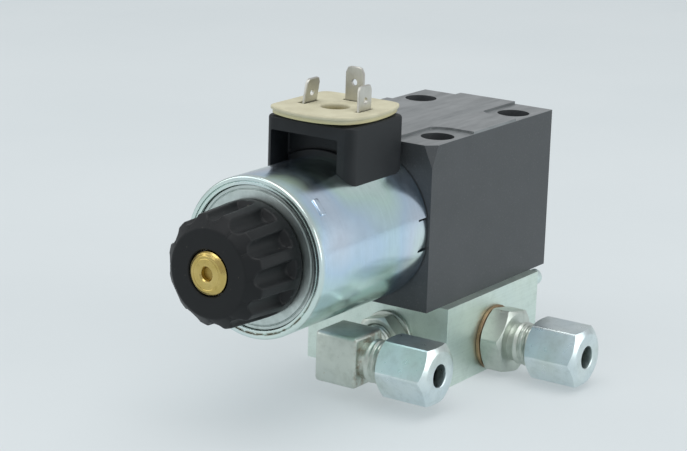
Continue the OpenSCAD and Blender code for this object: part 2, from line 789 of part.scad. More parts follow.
valve_body();
mounting_screws();
port_seals();
sub_block();
block_plugs();
spool();
return_spring();
spring_seat();
end_plug();
end_plug_seal();
pole_piece();
tube_ring();
pole_tube();
tube_seal();
armature();
push_pin();
override_bush();
override_pin();
override_seal();
coil_can();
front_disc();
rear_disc();
bobbin();
winding();
coil_seal();
connector_housing();
terminal_left();
terminal_right();
earth_terminal();
terminal_nut();
connector_gasket();
coil_nut();
nut_insert();
nut_seal();
elbow_body();
elbow_lock_nut();
elbow_washer();
elbow_ring();
elbow_union_nut();
straight_body();
straight_washer();
straight_ring();
straight_union_nut();
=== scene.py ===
import json
import math

import bmesh
import bpy
from mathutils import Matrix, Vector


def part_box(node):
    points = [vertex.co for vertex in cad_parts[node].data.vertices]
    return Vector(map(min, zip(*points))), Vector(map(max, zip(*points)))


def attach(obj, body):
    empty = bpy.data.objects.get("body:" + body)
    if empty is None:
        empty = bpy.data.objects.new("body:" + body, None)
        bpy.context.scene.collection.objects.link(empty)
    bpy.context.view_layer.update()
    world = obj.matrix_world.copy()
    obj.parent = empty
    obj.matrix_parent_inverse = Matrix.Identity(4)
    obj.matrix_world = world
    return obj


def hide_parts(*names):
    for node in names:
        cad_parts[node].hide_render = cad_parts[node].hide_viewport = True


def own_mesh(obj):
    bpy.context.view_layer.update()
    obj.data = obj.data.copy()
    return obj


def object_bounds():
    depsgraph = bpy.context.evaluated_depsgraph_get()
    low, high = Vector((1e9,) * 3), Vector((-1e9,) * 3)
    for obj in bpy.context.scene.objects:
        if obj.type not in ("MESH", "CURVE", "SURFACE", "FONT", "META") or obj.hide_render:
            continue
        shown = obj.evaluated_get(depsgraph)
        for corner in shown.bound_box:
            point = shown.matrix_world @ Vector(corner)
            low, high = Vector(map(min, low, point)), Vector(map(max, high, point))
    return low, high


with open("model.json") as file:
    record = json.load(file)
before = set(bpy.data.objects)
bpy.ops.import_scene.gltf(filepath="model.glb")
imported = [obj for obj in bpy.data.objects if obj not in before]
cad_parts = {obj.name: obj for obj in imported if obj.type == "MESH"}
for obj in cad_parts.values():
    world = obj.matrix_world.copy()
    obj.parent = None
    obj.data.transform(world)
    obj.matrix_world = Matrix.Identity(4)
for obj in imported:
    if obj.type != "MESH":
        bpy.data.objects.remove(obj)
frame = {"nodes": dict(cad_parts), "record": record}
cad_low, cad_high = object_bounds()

# Pieces are drawn in millimetres, and MM takes them to the frame's metres.
MM = 0.001
RECORD = frame["record"]
BODY_OF = {node: body for body, nodes in RECORD["behaviour"]["bodies"].items() for node in nodes}
SLOT_OF = {part["node"]: part["material_slot"] for part in RECORD["subparts"]}
SCENE = bpy.context.scene
# Points closer than this are one point, in millimetres.
MERGE = 1e-4
# The most of a side that the fillet at one of its ends may take.
FILLET_SHARE = 0.49


# ---- mesh tools ----


def span(node):
    """Lowest and highest corner of a CAD node, in millimetres."""
    low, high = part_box(node)
    return low / MM, high / MM


def polar(x, radius, degrees):
    """A point round the X axis; the angle runs from -Y towards +Z."""
    turn = math.radians(degrees)
    return Vector((x, -radius * math.cos(turn), radius * math.sin(turn)))


def loft(rings, closed=False):
    """A bmesh through rings of points. One point closes an end; closed joins the last ring to the first."""
    mesh = bmesh.new()
    made = [[mesh.verts.new(point) for point in ring] for ring in rings]
    pairs = list(zip(made, made[1:])) + ([(made[-1], made[0])] if closed else [])
    for first, second in pairs:
        count = max(len(first), len(second))
        for k in range(count):
            n = (k + 1) % count
            corners = [first[k % len(first)], first[n % len(first)]]
            corners += [second[n % len(second)], second[k % len(second)]]
            unique = list(dict.fromkeys(corners))
            if len(unique) > 2:
                mesh.faces.new(unique)
    bmesh.ops.remove_doubles(mesh, verts=mesh.verts, dist=MERGE)
    bmesh.ops.recalc_face_normals(mesh, faces=mesh.faces)
    return mesh


def rounded(outline, closed=False, steps=4):
    """The corners (x, r, fillet) of an outline as a line of (x, r) points, with an arc for each fillet."""
    line = []
    last = len(outline) - 1
    for i, (x, r, fillet) in enumerate(outline):
        here = Vector((x, r))
        if fillet <= 0 or (not closed and i in (0, last)):
            line.append((x, r))
            continue
        back = Vector(outline[i - 1][:2]) - here
        on = Vector(outline[(i + 1) % len(outline)][:2]) - here
        half = back.angle(on) / 2
        reach = min(fillet / math.tan(half), FILLET_SHARE * back.length, FILLET_SHARE * on.length)
        radius = reach * math.tan(half)
        centre = here + (back.normalized() + on.normalized()).normalized() * radius / math.sin(half)
        start = here + back.normalized() * reach - centre
        stop = here + on.normalized() * reach - centre
        for k in range(steps + 1):
            arm = start.lerp(stop, k / steps).normalized() * radius
            line.append(tuple(centre + arm))
    return line


def circle(x, radius, sides=60):
    """Points of a circle round the X axis."""
    return [polar(x, radius, 360 * k / sides) for k in range(sides)]


def turned(line, sides=96, closed=False):
    """A bmesh turned round the X axis from (x, r) points."""
    return loft([circle(x, r, sides if r > MERGE else 1) for x, r in line], closed)


def lathed(outline, sides=96, steps=4):
    """A bmesh turned round the X axis from a closed outline of corners (x, r, fillet)."""
    return turned(rounded(outline, closed=True, steps=steps), sides, closed=True)


def capped(rings):
    """A bmesh through rings round the X axis, with a point on the axis closing each end."""
    start, stop = rings[0][0][0], rings[-1][0][0]
    return loft([[(start, 0, 0)]] + rings + [[(stop, 0, 0)]])


def rod(start, stop, radius, sides=48):
    return turned([(start, 0), (start, radius), (stop, radius), (stop, 0)], sides)


def box(low, high, fillet=0.0, steps=3):
    """A box between two corners, with rounded edges."""
    mesh = bmesh.new()
    bmesh.ops.create_cube(mesh, size=1)
    low, high = Vector(low), Vector(high)
    for vert in mesh.verts:
        vert.co = (low + high) / 2 + vert.co * (high - low)
    if fillet:
        bmesh.ops.bevel(mesh, geom=mesh.edges[:], offset=fillet, segments=steps, profile=0.5, affect="EDGES")
    return mesh


def moved(mesh, place):
    bmesh.ops.transform(mesh, matrix=place, verts=mesh.verts)
    return mesh


def spin(degrees, axis):
    return Matrix.Rotation(math.radians(degrees), 4, axis)


def mesh_data(name, mesh):
    """Mesh data made from a bmesh, which is used up."""
    data = bpy.data.meshes.new(name)
    mesh.to_mesh(data)
    mesh.free()
    return data


def link(name, data):
    """A new object in the scene."""
    made = bpy.data.objects.new(name, data)
    SCENE.collection.objects.link(made)
    return made


def carve(base, cutters, operation="DIFFERENCE"):
    """Cuts bmeshes out of a bmesh, or joins them to it, and returns the result."""
    target, *tools = [link("scratch", mesh_data("scratch", mesh)) for mesh in (base, *cutters)]
    for tool in tools:
        step = target.modifiers.new("carve", "BOOLEAN")
        step.operation = operation
        step.solver = "EXACT"
        step.object = tool
    graph = bpy.context.evaluated_depsgraph_get()
    data = bpy.data.meshes.new_from_object(target.evaluated_get(graph))
    result = bmesh.new()
    result.from_mesh(data)
    bpy.data.meshes.remove(data)
    for held in [target] + tools:
        bpy.data.objects.remove(held)
    bmesh.ops.remove_doubles(result, verts=result.verts, dist=MERGE)
    bmesh.ops.dissolve_degenerate(result, edges=result.edges, dist=MERGE)
    return result


def join(base, *others):
    return carve(base, others, "UNION")


def piece(name, mesh, node, place=Matrix(), sharp=35):
    """Links a bmesh, drawn in millimetres at a place, as the piece that stands for a CAD node."""
    bmesh.ops.recalc_face_normals(mesh, faces=mesh.faces)
    data = mesh_data(name, mesh)
    data.transform(Matrix.Scale(MM, 4) @ place)
    data.shade_smooth()
    data.set_sharp_from_angle(angle=math.radians(sharp))
    data.materials.append(LOOKS[SLOT_OF[node]])
    made = link(name, data)
    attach(made, BODY_OF[node])
    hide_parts(node)
    return made


def soften(shown, width):
    """Rounds a piece's sharp edges by a width in millimetres."""
    edge = shown.modifiers.new("edges", "BEVEL")
    edge.width = width * MM
    edge.segments = 2
    edge.limit_method = "ANGLE"
    edge.angle_limit = math.radians(40)
    edge.use_clamp_overlap = True
    edge.miter_outer = "MITER_ARC"
    normals = shown.modifiers.new("normals", "WEIGHTED_NORMAL")
    normals.keep_sharp = True


# ---- hexagons, threads and flutes ----

CHAMFER_SLOPE = math.tan(math.radians(30))
CORNER_WEAR = 0.13
FLAT_SHARES = (-1, -0.95, -0.5, 0, 0.5, 0.95)
CORNER_STEPS = 8
CONE_START = 0.06
CONE_STEPS = 5
# Steps along and out of the small lip inside a hexagon's chamfer circle.
HEX_LIP = ((0, -0.22), (0.04, -0.06), (0.12, 0.1))


def hex_section(x, radius, flats, corner):
    """A section of a hexagonal bar turned down to a radius. corner is the angle of one of its corners."""
    half = flats / 2
    edge = math.degrees(math.acos(min(1, half / radius)))
    points = []
    for side in range(6):
        middle = corner + 30 + 60 * side
        for share in FLAT_SHARES:
            angle = edge * share
            points.append(polar(x, min(radius, half / math.cos(math.radians(angle))), middle + angle))
        for k in range(CORNER_STEPS):
            angle = edge + (60 - 2 * edge) * k / CORNER_STEPS
            points.append(polar(x, radius, middle + angle))
    return points


def hex_line(start, stop, flats, start_radius, stop_radius):
    """(x, r) line over a hexagonal bar, from the chamfer circle at one end to the one at the other."""
    half = flats / 2
    top = flats / math.sqrt(3) - CORNER_WEAR
    radii = [half + (top - half) * k / CONE_STEPS for k in range(CONE_STEPS + 1)]

    def end(x, radius, way):
        lip = [(x + way * along, radius + out) for along, out in HEX_LIP]
        cone = [(x + way * (CONE_START + (r - radius) * CHAMFER_SLOPE), r) for r in radii if r > lip[-1][1]]
        return lip + cone

    return end(start, start_radius, 1) + end(stop, stop_radius, -1)[::-1]


def corner_angle(node, place):
    """Angle of one corner of a hexagonal CAD node, from -Y towards +Z in the piece's own frame."""
    back = place.inverted()
    points = [back @ (vert.co / MM) for vert in frame["nodes"][node].data.vertices]
    far = max(points, key=lambda point: math.hypot(point.y, point.z))
    return math.degrees(math.atan2(far.z, -far.y))


PITCH = 1.5
THREAD_STEPS = 10
THREAD_SIDES = 60
# How steeply the flanks rise: at 1 they meet in a point, and above 1 the groove's floor is flat.
THREAD_FLANK = 1.5


def threaded(start, stop, radius, depth):
    """Rings of points along a screw thread round the X axis, which fades in and out over one turn."""
    rings = []
    count = round((stop - start) / PITCH * THREAD_STEPS)
    for i in range(count + 1):
        x = start + (stop - start) * i / count
        fade = min(1, (x - start) / PITCH, (stop - x) / PITCH)
        ring = []
        for k in range(THREAD_SIDES):
            wave = abs((x / PITCH + k / THREAD_SIDES) % 1 * 2 - 1)
            groove = depth * fade * min(1, THREAD_FLANK * wave)
            ring.append(polar(x, radius - groove, 360 * k / THREAD_SIDES))
        rings.append(ring)
    return rings


FLUTES = 12
FLUTE_RADIUS = 2.6
FLUTE_STEPS = 7
RIB_STEPS = 6
FIRST_FLUTE = 2
RIB_FILLET = 0.4
# Where the middle of a 90 degree fillet lies, as a share of its radius from the corner.
FILLET_MIDDLE = 0.28


def fluted(x, radius, flute_axis, cut=1.0):
    """A section of the coil nut, with finger flutes cut into a circle. cut 0 leaves the circle whole."""

    def opening(r):
        share = (flute_axis**2 + FLUTE_RADIUS**2 - r**2) / (2 * flute_axis * FLUTE_RADIUS)
        return math.acos(max(-1, min(0.9995, share)))

    def place(turn):
        across = FLUTE_RADIUS * math.sin(turn)
        out = flute_axis - FLUTE_RADIUS * math.cos(turn)
        return math.degrees(math.atan2(across, out)), math.hypot(across, out)

    pitch = 360 / FLUTES
    edge = opening(radius - RIB_FILLET)
    rim = place(opening(radius))[0]
    fillet = math.degrees(RIB_FILLET / radius)
    points = []
    for k in range(FLUTES):
        centre = FIRST_FLUTE + k * pitch
        for i in range(-FLUTE_STEPS, FLUTE_STEPS + 1):
            angle, depth = place(edge * i / FLUTE_STEPS)
            depth = min(depth, radius)
            points.append(polar(x, depth * cut + radius * (1 - cut), centre + angle))
        near = radius - FILLET_MIDDLE * RIB_FILLET * cut
        points.append(polar(x, near, centre + rim + FILLET_MIDDLE * fillet))
        for i in range(RIB_STEPS + 1):
            angle = rim + fillet + (pitch - 2 * rim - 2 * fillet) * i / RIB_STEPS
            points.append(polar(x, radius, centre + angle))
        points.append(polar(x, near, centre + pitch - rim - FILLET_MIDDLE * fillet))
    return points


# ---- measures of the CAD ----

# Depth of the milled pads in the body's top.
PAD_DEPTH = 0.7
CAN_LOW, CAN_HIGH = span("coil_can")
CAN_RADIUS = (CAN_HIGH.z - CAN_LOW.z) / 2
AXIS_Z = (CAN_LOW.z + CAN_HIGH.z) / 2
SPOOL_AXIS = Vector((0, 0, AXIS_Z))
SPOOL_PLACE = Matrix.Translation(SPOOL_AXIS)
DISC_RADIUS = (span("front_disc")[1].z - span("front_disc")[0].z) / 2
SEAM_RADIUS = DISC_RADIUS + 1.05
NECK_Y = {name: span(name + "_union_nut")[1].y for name in ("elbow", "straight")}


# ---- materials ----

# Noise mostly lies between these.
NOISE_LOW, NOISE_HIGH = 0.3, 0.7


class Look:
    """A node material round one Principled shader. Its texture space is the frame, in millimetres."""

    def __init__(self, name, metallic=0.0, roughness=0.5, **sockets):
        self.material = bpy.data.materials.new(name)
        self.material.use_nodes = True
        self.tree = self.material.node_tree
        self.shader = self.tree.nodes["Principled BSDF"]
        sockets.update(Metallic=metallic, Roughness=roughness)
        for socket, value in sockets.items():
            self.shader.inputs[socket.replace("_", " ")].default_value = value
        place = self.add("ShaderNodeTexCoord").outputs["Object"]
        self.place = self.vector("SCALE", place, Scale=1 / MM)
        self.normal = None

    def add(self, kind, settings=None, **inputs):
        node = self.tree.nodes.new(kind)
        for key, value in (settings or {}).items():
            setattr(node, key, value)
        for key, value in inputs.items():
            self.put(node.inputs[key.replace("_", " ")], value)
        return node

    def put(self, socket, value):
        if isinstance(value, bpy.types.NodeSocket):
            self.tree.links.new(value, socket)
        else:
            socket.default_value = value

    def vector(self, operation, first, second=None, **inputs):
        node = self.add("ShaderNodeVectorMath", {"operation": operation}, **inputs)
        self.put(node.inputs[0], first)
        if second is not None:
            self.put(node.inputs[1], second)
        return node.outputs["Value" if operation == "LENGTH" else "Vector"]

    def math(self, operation, first, second=0.0):
        node = self.add("ShaderNodeMath", {"operation": operation})
        self.put(node.inputs[0], first)
        self.put(node.inputs[1], second)
        return node.outputs["Value"]

    def times(self, first, second):
        return self.math("MULTIPLY", first, second)

    def noise(self, scale, stretch=(1, 1, 1), detail=3.0, rough=0.5, offset=(0, 0, 0), place=None):
        """Noise with features about 1/scale mm across; stretch multiplies the scale along each axis."""
        start = self.vector("ADD", place or self.place, offset)
        at = self.vector("MULTIPLY", start, stretch)
        node = self.add("ShaderNodeTexNoise", Vector=at, Scale=scale, Detail=detail, Roughness=rough)
        return node.outputs["Fac"]

    def ramp(self, factor, *stops):
        node = self.add("ShaderNodeValToRGB", Fac=factor)
        line = node.color_ramp.elements
        while len(line) < len(stops):
            line.new(1.0)
        for element, (position, colour) in zip(line, stops):
            element.position = position
            element.color = (*colour, 1) if len(colour) == 3 else colour
        return node.outputs["Color"]

    def tint(self, factor, low, high):
        """Noise as a drift between two colours."""
        return self.ramp(factor, (NOISE_LOW, low), (NOISE_HIGH, high))

    def mask(self, factor, low, high):
        """0 below low and 1 above high, smooth between; low may be the larger."""
        ends = {"From Min": low, "From Max": high}
        smooth = {"interpolation_type": "SMOOTHSTEP"}
        return self.add("ShaderNodeMapRange", smooth, Value=factor, **ends).outputs["Result"]

    def spread(self, factor, low, high):
        """Noise taken to the range low to high."""
        ends = {"From Min": NOISE_LOW, "From Max": NOISE_HIGH, "To Min": low, "To Max": high}
        return self.add("ShaderNodeMapRange", Value=factor, **ends).outputs["Result"]

    def mix(self, factor, first, second, blend="MIX"):
        node = self.add("ShaderNodeMix", {"data_type": "RGBA", "blend_type": blend})
        self.put(node.inputs["Factor"], factor)
        for socket, value in ((node.inputs[6], first), (node.inputs[7], second)):
            self.put(socket, (*value, 1) if isinstance(value, tuple) else value)
        return node.outputs[2]

    def axis(self, which):
        return self.add("ShaderNodeSeparateXYZ", Vector=self.place).outputs[which]

    def radius(self):
        """Distance from the spool's axis."""
        arm = self.vector("MULTIPLY", self.vector("SUBTRACT", self.place, SPOOL_AXIS), (0, 1, 1))
        return self.vector("LENGTH", arm)

    def bump(self, height, distance):
        """Adds height, in millimetres at its full range, to the surface."""
        node = self.add("ShaderNodeBump", Height=height, Distance=distance * MM, Strength=1.0)
        if self.normal:
            self.put(node.inputs["Normal"], self.normal)
        self.normal = node.outputs["Normal"]

    def done(self, colour, roughness=None):
        self.put(self.shader.inputs["Base Color"], colour)
        if roughness is not None:
            self.put(self.shader.inputs["Roughness"], roughness)
        if self.normal:
            self.put(self.shader.inputs["Normal"], self.normal)
        return self.material


DRIFT_START, DRIFT_RANGE = 0.28, 0.44
WORN_TINT = (0.86, 0.87, 0.86)
SPECK_TINT = (0.30, 0.29, 0.26)
DUST_TINT = (0.20, 0.19, 0.15)
LIP_TINT = (0.70, 0.80, 0.76)
SEAM_STAIN = (0.20, 0.16, 0.09)
RUST_TINT = (0.24, 0.13, 0.045)
RUST_SPOT = (0.36, 0.29, 0.16)
TARNISH_SHADE = 0.45
WIRE_PITCH = 0.5
FLOOR_GLOW = 0.40


def zinc(name, tints, rough=(0.25, 0.4), brush=None, patch=0.07, stain=None, grain=0.006, wear=1.0):
    """Zinc plate: slow drifts of tint, fine marks the way it was machined, handling marks and stains."""
    look = Look(name, metallic=1.0)
    drift = look.noise(patch, detail=1, rough=0.35)
    step = DRIFT_RANGE / (len(tints) - 1)
    colour = look.ramp(drift, *[(DRIFT_START + k * step, tint) for k, tint in enumerate(tints)])
    cloud = look.noise(0.35, detail=5, rough=0.6, offset=(7, 3, 5))
    worn = look.times(look.mask(cloud, 0.42, 0.75), wear)
    colour = look.mix(worn, colour, WORN_TINT, "MULTIPLY")
    specks = look.mask(look.noise(1.6, detail=2, offset=(31, 9, 4)), 0.72, 0.8)
    colour = look.mix(look.times(specks, 0.5 * wear), colour, SPECK_TINT)
    if stain is not None:
        colour = stain(look, colour)
    if brush:
        marks = look.noise(1.0, stretch=brush, detail=4, rough=0.7)
        colour = look.mix(0.22, colour, look.tint(marks, (0.62, 0.62, 0.62), (1, 1, 1)), "MULTIPLY")
        look.bump(marks, 2 * grain)
    look.bump(look.noise(5.0, detail=3), grain)
    return look.done(colour, look.spread(cloud, *rough))


def can_stain(look, colour):
    """Plain greener plate on the can's lip, with thin brown stains low in its seam."""
    lip = look.mask(look.axis("X"), CAN_LOW.x + 2.2, CAN_LOW.x + 0.7)
    colour = look.mix(look.times(lip, 0.8), colour, LIP_TINT)
    seam = look.math("ABSOLUTE", look.math("SUBTRACT", look.radius(), SEAM_RADIUS))
    seam = look.times(look.mask(seam, 0.55, 0.1), lip)
    low = look.mask(look.axis("Z"), AXIS_Z, CAN_LOW.z + 3)
    patches = look.mask(look.noise(0.5, detail=4, rough=0.65, offset=(3, 17, 8)), 0.40, 0.56)
    amount = look.times(look.times(seam, low), patches)
    return look.mix(look.times(amount, 0.8), colour, SEAM_STAIN)


def rust(bands):
    """Brown stains near planes across Y, broken up by noise. A band is its place, width and strength."""

    def stain(look, colour):
        y = look.axis("Y")
        near = None
        for place, width, strength in bands:
            band = look.math("ABSOLUTE", look.math("SUBTRACT", y, place))
            band = look.times(look.mask(band, width, width * 0.2), strength)
            near = band if near is None else look.math("MAXIMUM", near, band)
        patches = look.noise(0.45, detail=4, rough=0.65, offset=(3, 17, 8))
        colour = look.mix(look.times(near, look.mask(patches, 0.44, 0.62)), colour, RUST_TINT)
        spots = look.mask(look.noise(0.55, detail=3, offset=(40, 2, 11)), 0.70, 0.76)
        return look.mix(look.times(spots, 0.45), colour, RUST_SPOT)

    return stain


def iron_look():
    """Phosphated iron: dark, satin, with milling marks along X; the smoother machined top is lighter, partly
    clean metal, partly painted highlight.
    """
    look = Look("iron_phosphated", metallic=0.25, Specular_IOR_Level=0.5)
    cloud = look.noise(0.09, detail=4, rough=0.55)
    colour = look.tint(cloud, (0.052, 0.058, 0.062), (0.070, 0.076, 0.081))
    fine = look.noise(2.2, detail=3, offset=(4, 8, 1))
    colour = look.mix(look.mask(fine, 0.55, 0.8), colour, (0.098, 0.104, 0.106))
    pads = span("valve_body")[1].z - PAD_DEPTH
    # Painted highlight: the top faces, and the sides just below the top edge, are mixed towards a lighter
    # tone; on the top this is partly real machined metal.
    milled_top_and_highlight = look.mask(look.axis("Z"), pads - 0.15, pads - 0.03)
    swirl = look.noise(1.0, stretch=(0.08, 0.5, 0.5), detail=4, rough=0.6, offset=(2, 5, 0))
    bare_metal_and_highlight = look.tint(swirl, (0.15, 0.162, 0.166), (0.24, 0.255, 0.26))
    colour = look.mix(milled_top_and_highlight, colour, bare_metal_and_highlight)
    marks = look.noise(1.0, stretch=(0.05, 2.6, 2.6), detail=4, rough=0.7)
    passes = look.noise(1.0, stretch=(0, 0.16, 0), detail=0, offset=(0, 2.5, 0))
    look.bump(marks, 0.010)
    look.bump(fine, 0.012)
    rough = look.math("ADD", look.spread(cloud, 0.40, 0.50), look.spread(passes, -0.05, 0.06))
    rough = look.math("SUBTRACT", rough, look.times(milled_top_and_highlight, 0.10))
    return look.done(colour, rough)


def plastic(name, dark, light, rough, grain, specks=0.0):
    """Moulded plastic with a fine spark-eroded grain, and dust where it is asked for."""
    look = Look(name, Specular_IOR_Level=0.26)
    cloud = look.noise(0.16, detail=4, rough=0.6)
    colour = look.tint(cloud, dark, light)
    if specks:
        dust = look.mask(look.noise(1.1, detail=2, offset=(5, 21, 13)), 0.745, 0.78)
        colour = look.mix(look.times(dust, specks), colour, DUST_TINT)
    look.bump(look.noise(6.0, detail=3, rough=0.6), grain)
    look.bump(look.noise(0.4, detail=2), 0.03)
    return look.done(colour, look.spread(cloud, *rough))


def gasket_look():
    """Cream rubber, yellower along its sides and a little dirty."""
    look = Look("gasket_cream", roughness=0.6, Specular_IOR_Level=0.3)
    cloud = look.noise(0.18, detail=4, rough=0.6)
    colour = look.tint(cloud, (0.49, 0.46, 0.325), (0.585, 0.56, 0.41))
    low, high = span("connector_gasket")
    sides = look.mask(look.axis("Z"), high.z - 0.3, low.z + 0.5)
    colour = look.mix(sides, colour, (0.58, 0.53, 0.30))
    dirt = look.mask(look.noise(0.7, detail=4, rough=0.7, offset=(9, 1, 3)), 0.60, 0.78)
    colour = look.mix(look.times(dirt, 0.4), colour, (0.45, 0.40, 0.27))
    look.bump(look.noise(1.5, detail=3), 0.03)
    return look.done(colour, look.spread(cloud, 0.5, 0.7))


def turned_look(name, tints, rough):
    """Turned metal: rings round the spool's axis, and tarnish in clouds."""
    look = Look(name, metallic=1.0)
    cloud = look.noise(0.3, detail=4, rough=0.6)
    colour = look.ramp(cloud, (0.32, tints[0]), (0.68, tints[1]))
    spot = look.add("ShaderNodeCombineXYZ", X=look.radius()).outputs["Vector"]
    ring = look.noise(2.4, detail=4, rough=0.75, place=spot)
    dull = look.mask(look.noise(0.9, detail=4, offset=(2, 6, 4)), 0.55, 0.75)
    dark = tuple(TARNISH_SHADE * value for value in tints[0])
    colour = look.mix(look.times(dull, 0.3), colour, dark)
    colour = look.mix(0.3, colour, look.tint(ring, (0.6, 0.6, 0.6), (1, 1, 1)), "MULTIPLY")
    look.bump(ring, 0.010)
    return look.done(colour, look.spread(cloud, *rough))


def copper_look():
    """Enamelled copper wire, wound in turns along X."""
    look = Look("copper_wire", metallic=1.0, Coat_Weight=0.4)
    turns = look.math("SINE", look.times(look.axis("X"), 2 * math.pi / WIRE_PITCH))
    cloud = look.noise(0.25, detail=3)
    look.bump(turns, 0.08)
    return look.done(look.tint(cloud, (0.50, 0.20, 0.09), (0.66, 0.30, 0.13)), look.spread(cloud, 0.25, 0.4))


def floor_look():
    """A pale light table with the slightest drift of tone; its own glow keeps shadows faint."""
    look = Look("floor_pale", roughness=0.75, Specular_IOR_Level=0.2)
    cloud = look.noise(0.006, detail=3, rough=0.5)
    colour = look.tint(cloud, (0.290, 0.307, 0.312), (0.320, 0.333, 0.336))
    look.shader.inputs["Emission Color"].default_value = (0.86, 0.95, 0.985, 1)
    look.shader.inputs["Emission Strength"].default_value = FLOOR_GLOW
    look.bump(look.noise(0.02, detail=2), 1.5)
    return look.done(colour)


MINT = (0.66, 0.88, 0.83)
BLUE = (0.60, 0.77, 0.93)
LAVENDER = (0.70, 0.80, 0.92)
PALE = (0.76, 0.90, 0.88)
GREEN_GREY = (0.56, 0.63, 0.59)
# Rust where the elbow's neck meets its nut and its forging, and where the straight neck meets its nut.
NECK_RUST = [(NECK_Y["elbow"], 1.6, 0.8), (NECK_Y["elbow"] + 6.5, 1.5, 0.5), (NECK_Y["straight"], 1.4, 0.45)]

LOOKS = {
    "body_iron": iron_look(),
    "screw_steel": zinc("screw_black", [(0.05, 0.05, 0.055), (0.09, 0.09, 0.095)], (0.35, 0.5)),
    "seal_rubber": plastic("seal_rubber", (0.016, 0.016, 0.017), (0.03, 0.03, 0.03), (0.45, 0.6), 0.01),
    "block_steel": zinc(
        "block_zinc", [(0.66, 0.78, 0.71), (0.76, 0.87, 0.80), (0.70, 0.82, 0.77)],
        (0.36, 0.48), (0.04, 2.2, 2.2), 0.06, wear=0.7),
    "block_plug_steel": zinc("plug_zinc", [GREEN_GREY, PALE], (0.3, 0.42)),
    "ground_steel": zinc(
        "ground_steel", [(0.60, 0.61, 0.63), (0.70, 0.71, 0.72)], (0.12, 0.2), (6, 0.3, 0.3)),
    "spring_steel": zinc("spring_steel", [(0.50, 0.50, 0.52), (0.60, 0.60, 0.61)], (0.22, 0.32)),
    "plug_steel": zinc("end_plug_zinc", [GREEN_GREY, PALE, BLUE], (0.28, 0.4)),
    "core_steel": zinc(
        "core_steel", [(0.46, 0.47, 0.49), (0.58, 0.59, 0.60)], (0.22, 0.34), (3, 0.2, 0.2)),
    "ring_bronze": turned_look("ring_bronze", [(0.56, 0.40, 0.20), (0.66, 0.48, 0.24)], (0.25, 0.35)),
    "brass": turned_look("brass_turned", [(0.56, 0.42, 0.13), (0.66, 0.51, 0.19)], (0.16, 0.26)),
    "brass_pin": turned_look("brass_dull", [(0.36, 0.25, 0.07), (0.46, 0.33, 0.10)], (0.3, 0.45)),
    "can_zinc": zinc(
        "can_zinc", [MINT, PALE, LAVENDER, BLUE, MINT, PALE, BLUE],
        (0.16, 0.24), (1.6, 0.05, 0.05), 0.034, can_stain, grain=0.0016, wear=0.35),
    "disc_zinc": zinc(
        "disc_zinc", [(0.56, 0.64, 0.62), (0.66, 0.73, 0.71)], (0.28, 0.4), (0.1, 0.8, 0.8), 0.08),
    "bobbin_plastic": plastic(
        "bobbin_plastic", (0.012, 0.012, 0.014), (0.022, 0.022, 0.024), (0.4, 0.5), 0.008),
    "copper_wire": copper_look(),
    "housing_plastic": plastic(
        "housing_plastic", (0.0115, 0.0138, 0.0155), (0.0165, 0.019, 0.021), (0.42, 0.52), 0.010, 0.25),
    "blade_nickel": zinc(
        "blade_nickel", [(0.56, 0.55, 0.50), (0.66, 0.65, 0.60)], (0.3, 0.42), (1.2, 1.2, 0.08), 0.15),
    "gasket_rubber": gasket_look(),
    "nut_plastic": plastic(
        "nut_plastic", (0.0065, 0.0078, 0.0086), (0.0095, 0.011, 0.012), (0.42, 0.54), 0.012, 0.5),
    "fitting_zinc": zinc(
        "fitting_zinc", [(0.52, 0.57, 0.52), (0.62, 0.67, 0.61), (0.58, 0.63, 0.59)],
        (0.34, 0.48), stain=rust(NECK_RUST)),
    "union_zinc": zinc(
        "union_zinc", [(0.66, 0.76, 0.79), (0.74, 0.83, 0.84), (0.68, 0.76, 0.73)],
        (0.26, 0.38), patch=0.09),
    "washer_copper": zinc(
        "washer_copper", [(0.26, 0.18, 0.11), (0.38, 0.27, 0.16)], (0.4, 0.55), patch=0.3),
}


# ---- valve body and block ----


def finish_node(node, width):
    """Keeps a CAD node's own shape and rounds its edges."""
    shown = frame["nodes"][node]
    weld = shown.modifiers.new("weld", "WELD")
    weld.merge_threshold = 0.002 * MM
    flat = shown.modifiers.new("flat", "DECIMATE")
    flat.decimate_type = "DISSOLVE"
    flat.angle_limit = math.radians(0.4)
    soften(shown, width)


def add_body():
    finish_node("valve_body", 0.35)
    finish_node("sub_block", 0.5)
    finish_node("mounting_screws", 0.15)
    finish_node("block_plugs", 0.25)


def add_end_plug():
    """The hexagon plug in the body's far end, hollow towards the spring and dimpled outside."""
    low, high = span("end_plug")
    corner = corner_angle("end_plug", SPOOL_PLACE)
    flats, chamfer, thread, bore = 22, 10.6, 8.9, 6.5
    head = high.x - 5
    floor = head + 3
    dimple = high.x - 0.3
    outline = [(floor, 0), (floor, bore), (low.x, bore), (low.x, thread - 0.8), (low.x + 0.8, thread)]
    outline += [(head, thread)] + hex_line(head, high.x, flats, chamfer, chamfer)
    outline += [(high.x, 4.2), (dimple, 3.9), (dimple, 0)]
    rings = [hex_section(x, r, flats, corner) if r else [(x, 0, 0)] for x, r in outline]
    piece("end_plug_hex", loft(rings), "end_plug", SPOOL_PLACE)


# ---- solenoid ----

SLIT_ANGLE = 11.5
SLIT_LENGTH = 4.2
SLIT_WIDTH = 0.55
TAB_SINK = 0.40
TAB_CREASE = 0.07
TAB_BEND = 0.6
# The bar stamped in the can: where it starts round the can, how far it runs and how much it slants.
BAR_START = 37
BAR_TURN = 13
BAR_SLANT = 0.1


def stamped_bar(radius):
    """A small raised bar stamped in the can, bent round it."""
    length = math.radians(BAR_TURN) * radius
    bar = box((CAN_LOW.x + 5.4, 0, -0.5), (CAN_LOW.x + 7.5, length, 0.4), 0.3)
    for vert in bar.verts:
        along, across, out = vert.co
        angle = BAR_START + math.degrees(across / radius)
        vert.co = polar(along + BAR_SLANT * across, radius + out, angle)
    return bar


